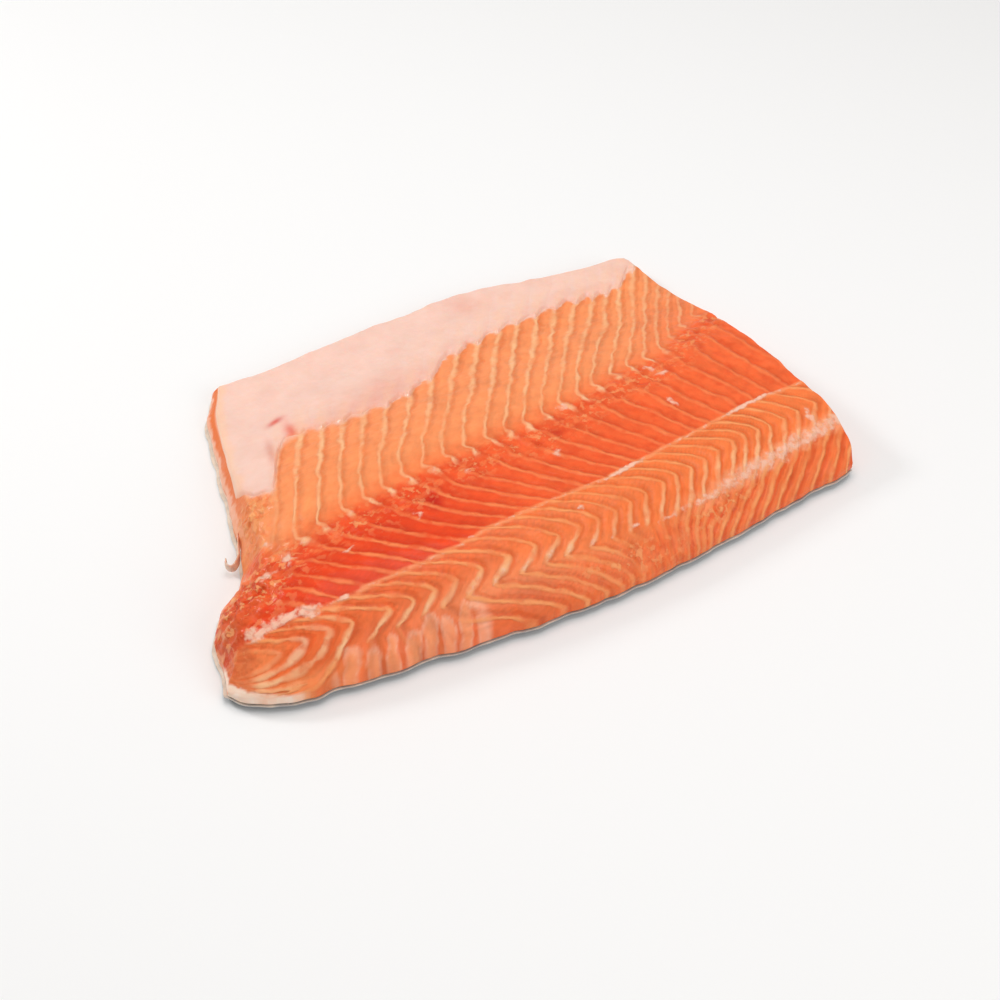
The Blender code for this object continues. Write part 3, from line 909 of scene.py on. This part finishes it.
# %% [markdown]
# ## The skin
# Salmon skin is silvery, darker towards the back, with small round scales in offset rows. It lies
# under the flesh, shows as a thin grey edge along the back, and is seen whole only from below. The
# scales are real relief, each a tilted disc over the next, made from their row and column numbers.

# %% Skin mesh
SKIN_COLUMNS, SKIN_ROWS = 270, 176
SCALE_LENGTH, SCALE_WIDTH, SCALE_RELIEF = 5.2, 3.8, 0.13
DARK_SPOTS = 26
OUTER_SILVER, INNER_SILVER = 0.65, 0.15


def scale_relief(x, y):
    """Height of overlapping round scales, 0 to about 1, and the number of the scale at each point."""
    best, which = np.zeros(x.shape), np.zeros(x.shape)
    for row_shift in (0, 1, 2):
        row = np.floor(y / SCALE_WIDTH) + row_shift - 1
        offset = (row % 2) * SCALE_LENGTH / 2
        for column_shift in (0, 1, 2):
            column = np.floor((x - offset) / SCALE_LENGTH) + column_shift - 1
            dx = (x - offset) / SCALE_LENGTH - column - 0.5
            dy = (y / SCALE_WIDTH - row - 0.5) / 1.25
            inside = np.hypot(dx, dy) < 0.72
            height = np.where(inside, 0.35 + 0.9 * dx + 0.2, 0)
            which = np.where(height > best, row * 131 + column * 17, which)
            best = np.maximum(best, height)
    return np.clip(best, 0, 1.2), which


def make_skin():
    s, t = np.meshgrid(np.linspace(0, 1, SKIN_COLUMNS), np.linspace(0, 1, SKIN_ROWS), indexing="ij")
    x, y = plan(s, t)
    base = skin_bottom(t)
    scales, which = scale_relief(x + 0.6 * rough(x, y, 20, 111), y + 0.6 * rough(x, y, 20, 113))
    edge = np.minimum(ease(0, 0.01, np.minimum(t, 1 - t)), ease(0, 0.01, np.minimum(s, 1 - s)))
    shifted = ragged(x, y, s, t)
    swell = SKIN_THICKNESS * (0.55 + 0.45 * edge) + 0.15 * rough(x, y, 12, 115) * edge
    top = np.stack([*shifted, base + swell])
    bottom = np.stack([*shifted, base + SCALE_RELIEF - SCALE_RELIEF * scales * edge])
    back = ease(0.5, 0.12, t + 0.03 * rough(x, y, 16, 117))
    shade = np.random.default_rng(119).uniform(0.85, 1.12, 997)[(which.astype(int)) % 997]
    under = blend(screen(196, 198, 200), screen(62, 72, 84), back) * shade[..., None]
    spots = np.zeros(x.shape)
    rng = np.random.default_rng(121)
    for _ in range(DARK_SPOTS):           # each spot draws its place, then its size
        centre = rng.uniform(-120, 120), rng.uniform(-80, -35)
        spots = np.maximum(spots, spot(x, y, centre, (rng.uniform(1.6, 3.2), rng.uniform(1.4, 2.6))))
    under = blend(under, screen(34, 36, 40), 0.8 * ease(0.3, 0.6, spots))
    inner = screen(244, 226, 206) * (1 + 0.08 * rough(x, y, 9, 123))[..., None]
    grey_edge = ease(0.012, 0.004, t) * (0.6 + 0.6 * rough(x, y, 10, 125))
    inner = blend(inner, screen(206, 198, 192), np.clip(grey_edge, 0, 1))
    silver = INNER_SILVER * grey_edge
    return closed_sheet("silver_skin", top, bottom, {"tint": inner, "silver": silver},
                        {"tint": under, "silver": OUTER_SILVER + 0 * x},
                        {"tint": under + 0.6 * (inner - under), "silver": silver})


skin = make_skin()

# %% [markdown]
# ## The loose shred at the notch
# Behind the gills a small grey-white shred of membrane curls out from the cut. It is a short ribbon,
# swept along a curl, thick in the middle and thin at its edges.

# %% Shred of membrane
shred_x = through([(0, -108), (0.3, -110.4), (0.55, -112.6), (0.75, -116.2), (0.9, -117.6), (1, -116.8)])
shred_y = through([(0, -3), (0.3, -9), (0.55, -14.5), (0.75, -16.2), (0.9, -13.6), (1, -11.6)])
shred_z = through([(0, 7.2), (0.3, 6.4), (0.55, 5.0), (0.75, 3.6), (0.9, 4.2), (1, 5.2)])


def make_shred():
    turn, share = np.meshgrid(np.linspace(0, 1, 60), np.linspace(0, 1, 25), indexing="ij")
    step = 0.01
    path_x, path_y = shred_x(turn), shred_y(turn)
    ahead_x = shred_x(turn + step) - shred_x(turn - step)
    ahead_y = shred_y(turn + step) - shred_y(turn - step)
    length = np.hypot(ahead_x, ahead_y)
    side_x, side_y = ahead_y / length, -ahead_x / length
    around = share * 2 * np.pi
    taper = np.sin(np.pi * np.clip(0.06 + 0.9 * turn, 0, 1)) ** 0.5
    half_width = (2.3 + 0.7 * ripple(turn * 20, 0 * share, 5, 131)) * taper
    half_thick = (0.75 + 0.3 * ripple(turn * 20, share * 6, 3, 133)) * taper
    out = half_thick * np.cos(around)
    x, y = path_x + side_x * out, path_y + side_y * out
    z = shred_z(turn) + half_width * np.sin(around) + 0.4 * ripple(turn * 30, share * 6, 4, 135)
    z = np.maximum(z, 0.4)
    tint = np.broadcast_to(screen(236, 208, 186), x.shape + (3,))
    tint = blend(tint, screen(232, 140, 100), 0.8 * ease(0.4, 0.0, turn))
    tint = blend(tint, screen(206, 178, 172), 0.6 * ease(0.1, 0.9, rough(turn * 30, share * 12, 5, 137)))
    fields = painted(x.shape, tint=tint, flake=0.5, pitch=10.0, wall=0.0, width=1.0, line=tint, torn=0.3)
    return mesh_from_panels("curled_shred", [(np.stack([x, y, z]), fields)])


shred = make_shred()

# %% [markdown]
# ## Building materials from nodes
# A few small helpers keep the node code short. They all fill sockets in the same way: a value that is
# another node's socket is linked, and anything else is set on the socket itself.

# %% Node helpers
def feed(tree, node, values):
    """Fill input sockets, given by name or number: link another node's socket or set a value."""
    for socket, value in values.items():
        if isinstance(value, bpy.types.NodeSocket):
            tree.links.new(value, node.inputs[socket])
        else:
            node.inputs[socket].default_value = value
    return node


def put(tree, kind, **inputs):
    """Add a node; the keywords name its input sockets."""
    return feed(tree, tree.nodes.new(kind), inputs)


def maths(tree, operation, *values):
    node = put(tree, "ShaderNodeMath")
    node.operation = operation
    return feed(tree, node, dict(enumerate(values))).outputs[0]


def times(tree, first, second):
    return maths(tree, "MULTIPLY", first, second)


def plus(tree, first, second):
    return maths(tree, "ADD", first, second)


def minus(tree, first, second):
    return maths(tree, "SUBTRACT", first, second)


def soft_step(tree, value, low, high):
    """0 below low and 1 above high, smooth between; low may be above high."""
    node = put(tree, "ShaderNodeMapRange")
    node.interpolation_type = "SMOOTHSTEP"
    return feed(tree, node, dict(enumerate((value, low, high)))).outputs[0]


def mix_colour(tree, share, first, second, how="MIX"):
    """Mix two colours; on this node they are inputs 6 and 7 and output 2."""
    node = put(tree, "ShaderNodeMix")
    node.data_type = "RGBA"
    node.blend_type = how
    return feed(tree, node, {0: share, 6: first, 7: second}).outputs[2]


def field(tree, name):
    node = put(tree, "ShaderNodeAttribute")
    node.attribute_name = name
    return node.outputs["Color" if name in COLOUR_FIELDS else "Fac"]


def grain(tree, size, detail=3.0, stretch=(1, 1, 1)):
    """Noise with lumps of about size metres, stretched along the axes."""
    place = put(tree, "ShaderNodeTexCoord").outputs["Object"]
    place = put(tree, "ShaderNodeMapping", Vector=place, Scale=stretch).outputs[0]
    noise = put(tree, "ShaderNodeTexNoise", Vector=place, Scale=1 / size, Detail=detail)
    return noise.outputs["Fac"]


def new_group(name, inputs, outputs):
    group = bpy.data.node_groups.new(name, "ShaderNodeTree")
    for direction, sockets in (("INPUT", inputs), ("OUTPUT", outputs)):
        for socket_name, kind, value in sockets:
            socket = group.interface.new_socket(socket_name, in_out=direction, socket_type=kind)
            if value is not None:
                socket.default_value = value
    return group, group.nodes.new("NodeGroupInput"), group.nodes.new("NodeGroupOutput")


def place_group(tree, group, **inputs):
    node = put(tree, "ShaderNodeGroup")
    node.node_tree = group
    return feed(tree, node, inputs)


# %% [markdown]
# ## Muscle walls as a node group
# The mesh stores the flake number, not the lines themselves, so the lines stay sharp at any
# distance. The group measures how many millimetres a point is from the nearest whole number, and
# turns that into a pale line with soft edges. Both the flesh and the lining over it use the group.

# %% Node group: muscle walls
def build_walls():
    number = "NodeSocketFloat"
    group, given, result = new_group(
        "muscle walls",
        [("Flake", number, 0.0), ("Pitch", number, 8.0), ("Width", number, 1.2), ("Waver", number, 0.5)],
        [("Wall", number, None), ("Shadow", number, None)])
    waver = minus(group, grain(group, 0.0045, 5), 0.5)
    waver = times(group, waver, given.outputs["Waver"])
    share = maths(group, "FRACT", plus(group, given.outputs["Flake"], 0.5))
    signed = times(group, minus(group, share, 0.5), given.outputs["Pitch"])
    signed = plus(group, signed, waver)
    away = maths(group, "ABSOLUTE", signed)
    half = times(group, given.outputs["Width"], 0.5)
    outer = times(group, half, 1.7)
    inner = times(group, half, 0.25)
    wall = soft_step(group, away, outer, inner)
    breaks = soft_step(group, grain(group, 0.006, 4), 0.30, 0.52)
    wall = times(group, wall, plus(group, times(group, breaks, 0.6), 0.4))
    beside = maths(group, "ABSOLUTE", minus(group, signed, times(group, half, 2.2)))
    shadow = soft_step(group, beside, outer, 0.0)
    feed(group, result, {"Wall": wall, "Shadow": shadow})
    return group


walls = build_walls()
print(walls.name, "nodes:", len(walls.nodes))

# %% [markdown]
# ## Wetness as a node group
# Raw fish is covered by a thin film of water. It is not even: it pools in the grooves and breaks into
# small dry patches. The group puts out a roughness and a fine height for the bump, and every material
# of the fillet uses it with its own strength.

# %% Node group: wet film
def build_film():
    number = "NodeSocketFloat"
    group, given, result = new_group(
        "wet film",
        [("Dry", number, 0.45), ("Wet", number, 0.25), ("Fibre", number, 0.5)],
        [("Roughness", number, None), ("Height", number, None)])
    patches = soft_step(group, grain(group, 0.012, 4), 0.35, 0.65)
    span = minus(group, given.outputs["Dry"], given.outputs["Wet"])
    roughness = plus(group, given.outputs["Wet"], times(group, patches, span))
    fibres = times(group, grain(group, 0.0016, 3, (0.35, 1, 1)), given.outputs["Fibre"])
    height = plus(group, fibres, times(group, grain(group, 0.006, 2), 0.8))
    feed(group, result, {"Roughness": roughness, "Height": height})
    return group


film = build_film()
print(film.name, "nodes:", len(film.nodes))

# %% [markdown]
# ## Flesh material
# The painted tint is the base. Walls, fat and torn flecks are mixed over it, each with a mask, and the
# same masks drive the bump, so that what looks pale also stands out. Light goes a little way into raw
# fish, which is what makes it look juicy, so there is some subsurface scattering with a long red
# radius. A clear coat gives the wet highlights.

# %% Flesh material
def new_material(name):
    material = bpy.data.materials.new(name)
    material.use_nodes = True
    tree = material.node_tree
    return material, tree, tree.nodes["Principled BSDF"]


def linear(colour):
    return (*colour, 1.0)


def flesh_material(name, scatter, coat, mottling):
    material, tree, shader = new_material(name)
    lines = place_group(tree, walls, Flake=field(tree, "flake"), Pitch=field(tree, "pitch"),
                        Width=field(tree, "width"), Waver=1.4)
    strength = field(tree, "wall")
    wall = times(tree, lines.outputs["Wall"], strength)
    shadow = times(tree, lines.outputs["Shadow"], times(tree, strength, 0.45))
    fine = times(tree, minus(tree, grain(tree, 0.0024, 6), 0.5), 1.5)
    fat = soft_step(tree, plus(tree, field(tree, "fat"), fine), 0.25, 0.95)
    fat = times(tree, fat, soft_step(tree, field(tree, "fat"), 0.05, 0.35))
    flecks = soft_step(tree, grain(tree, 0.003, 6), 0.525, 0.61)
    flecks = times(tree, flecks, times(tree, field(tree, "torn"), 0.9))
    pits = soft_step(tree, grain(tree, 0.0042, 5), 0.48, 0.32)
    pits = times(tree, pits, times(tree, field(tree, "torn"), 0.9))
    mottle = soft_step(tree, grain(tree, 0.003, 5, (0.7, 1, 1)), 0.35, 0.65)
    colour = mix_colour(tree, times(tree, mottle, mottling), field(tree, "tint"),
                        (0.94, 0.66, 0.42, 1), "MULTIPLY")
    colour = mix_colour(tree, shadow, colour, (0.95, 0.62, 0.36, 1), "MULTIPLY")
    colour = mix_colour(tree, pits, colour, (0.88, 0.42, 0.16, 1), "MULTIPLY")
    colour = mix_colour(tree, wall, colour, field(tree, "line"))
    colour = mix_colour(tree, flecks, colour, linear(FLECK))
    colour = mix_colour(tree, fat, colour, linear(FAT_PINK))
    wet = place_group(tree, film, Dry=0.5, Wet=0.3, Fibre=0.6)
    height = minus(tree, wall, times(tree, shadow, 0.8))
    height = plus(tree, height, wet.outputs["Height"])
    height = plus(tree, height, times(tree, plus(tree, fat, flecks), 0.8))
    height = minus(tree, height, times(tree, pits, 1.4))
    bump = put(tree, "ShaderNodeBump", Strength=0.7, Distance=0.0006, Height=height)
    feed(tree, shader, {"Base Color": colour, "Roughness": wet.outputs["Roughness"],
                        "Normal": bump.outputs[0], "Subsurface Weight": scatter,
                        "Subsurface Radius": (1.0, 0.35, 0.2), "Subsurface Scale": 0.0018,
                        "IOR": 1.36, "Specular IOR Level": 0.26,
                        "Coat Weight": coat, "Coat Roughness": 0.14})
    return material


flesh.data.materials.append(flesh_material("moist_flesh", 0.10, 0.11, 0.20))
lining.data.materials.append(flesh_material("pale_membrane", 0.15, 0.2, 0.08))
shred.data.materials.append(flesh_material("shred_membrane", 0.2, 0.4, 0.1))

# %% [markdown]
# ## Skin material
# The silver comes from guanine crystals, which reflect like dull metal, so the painted silver share
# drives the metallic value. The inner side is plain pale tissue.

# %% Skin material
def skin_material():
    material, tree, shader = new_material("silver_scales")
    wet = place_group(tree, film, Dry=0.42, Wet=0.25, Fibre=0.3)
    streaks = soft_step(tree, grain(tree, 0.003, 4), 0.3, 0.75)
    streaks = times(tree, streaks, 0.25)
    colour = mix_colour(tree, streaks, field(tree, "tint"), linear(screen(120, 124, 128)))
    bump = put(tree, "ShaderNodeBump", Strength=0.35, Distance=0.0003, Height=wet.outputs["Height"])
    feed(tree, shader, {"Base Color": colour, "Metallic": field(tree, "silver"),
                        "Roughness": wet.outputs["Roughness"], "Normal": bump.outputs[0],
                        "Coat Weight": 0.3, "Coat Roughness": 0.15})
    return material


skin.data.materials.append(skin_material())

# %% [markdown]
# ## Joining the looks to the frame
# Food has no moving parts, so every piece rides on the one body. Each visible piece stands for the
# plain solid of its layer, which stays hidden for collision.

# %% Ride and replace
for piece, node in ((flesh, "flesh"), (lining, "belly_lining"), (skin, "skin")):
    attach(piece, "root")
    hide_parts(node)
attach(shred, "root")

# %% [markdown]
# ## Floor, light and camera
# The floor is plain and nearly white. A large soft light overhead gives even brightness, a smaller
# one from the far left draws the wet highlights, and the world fills the shadows. The camera looks
# down at 45 degrees from the back edge's side, with a long lens.

# %% Floor
FLOOR_SIZE, FLOOR_LEVEL = 6.0, -0.2 * MM


def make_floor():
    bpy.ops.mesh.primitive_plane_add(size=FLOOR_SIZE, location=(0, 0, FLOOR_LEVEL))
    floor = bpy.context.object
    floor.name = "pale_floor"
    material, tree, shader = new_material("pale_floor")
    feed(tree, shader, {"Base Color": (0.93, 0.93, 0.93, 1), "Roughness": 0.7})
    floor.data.materials.append(material)


make_floor()

# %% Lights
def aimed(name, data, place, aim):
    """Put a light or a camera at place and turn it to look at aim."""
    thing = bpy.data.objects.new(name, data)
    bpy.context.scene.collection.objects.link(thing)
    thing.location = place
    thing.rotation_euler = (Vector(aim) - Vector(place)).to_track_quat("-Z", "Y").to_euler()
    return thing


# Each light's place in metres, the side of its square in metres, and its watts.
LIGHTS = {"overhead": ((0.1, 0.1, 1.1), 0.8, 5.0), "far_left": ((-0.7, 0.8, 0.7), 0.25, 4.2),
          "front_fill": ((0.5, -1.0, 0.7), 0.8, 3.85)}
for name, (place, size, watts) in LIGHTS.items():
    light = bpy.data.lights.new(name, "AREA")
    light.size = size
    light.energy = watts
    aimed(name, light, place, (0, 0, 0))
print("lights:", list(LIGHTS))

# %% World and view
world = bpy.data.worlds.new("studio")
world.use_nodes = True
feed(world.node_tree, world.node_tree.nodes["Background"],
     {"Color": (1.0, 0.98, 0.955, 1), "Strength": 0.46})
bpy.context.scene.world = world
bpy.context.scene.view_settings.view_transform = "Standard"

# %% Camera
CAMERA_PLACE, CAMERA_AIM = (-0.2245, -0.4695, 0.4930), (-0.0009, -0.0265, 0.0)
camera_data = bpy.data.cameras.new("camera")
camera_data.lens = 59.9
camera = aimed("camera", camera_data, CAMERA_PLACE, CAMERA_AIM)
bpy.context.scene.camera = camera
print("camera to its aim (m):", round((Vector(CAMERA_AIM) - Vector(CAMERA_PLACE)).length, 3))
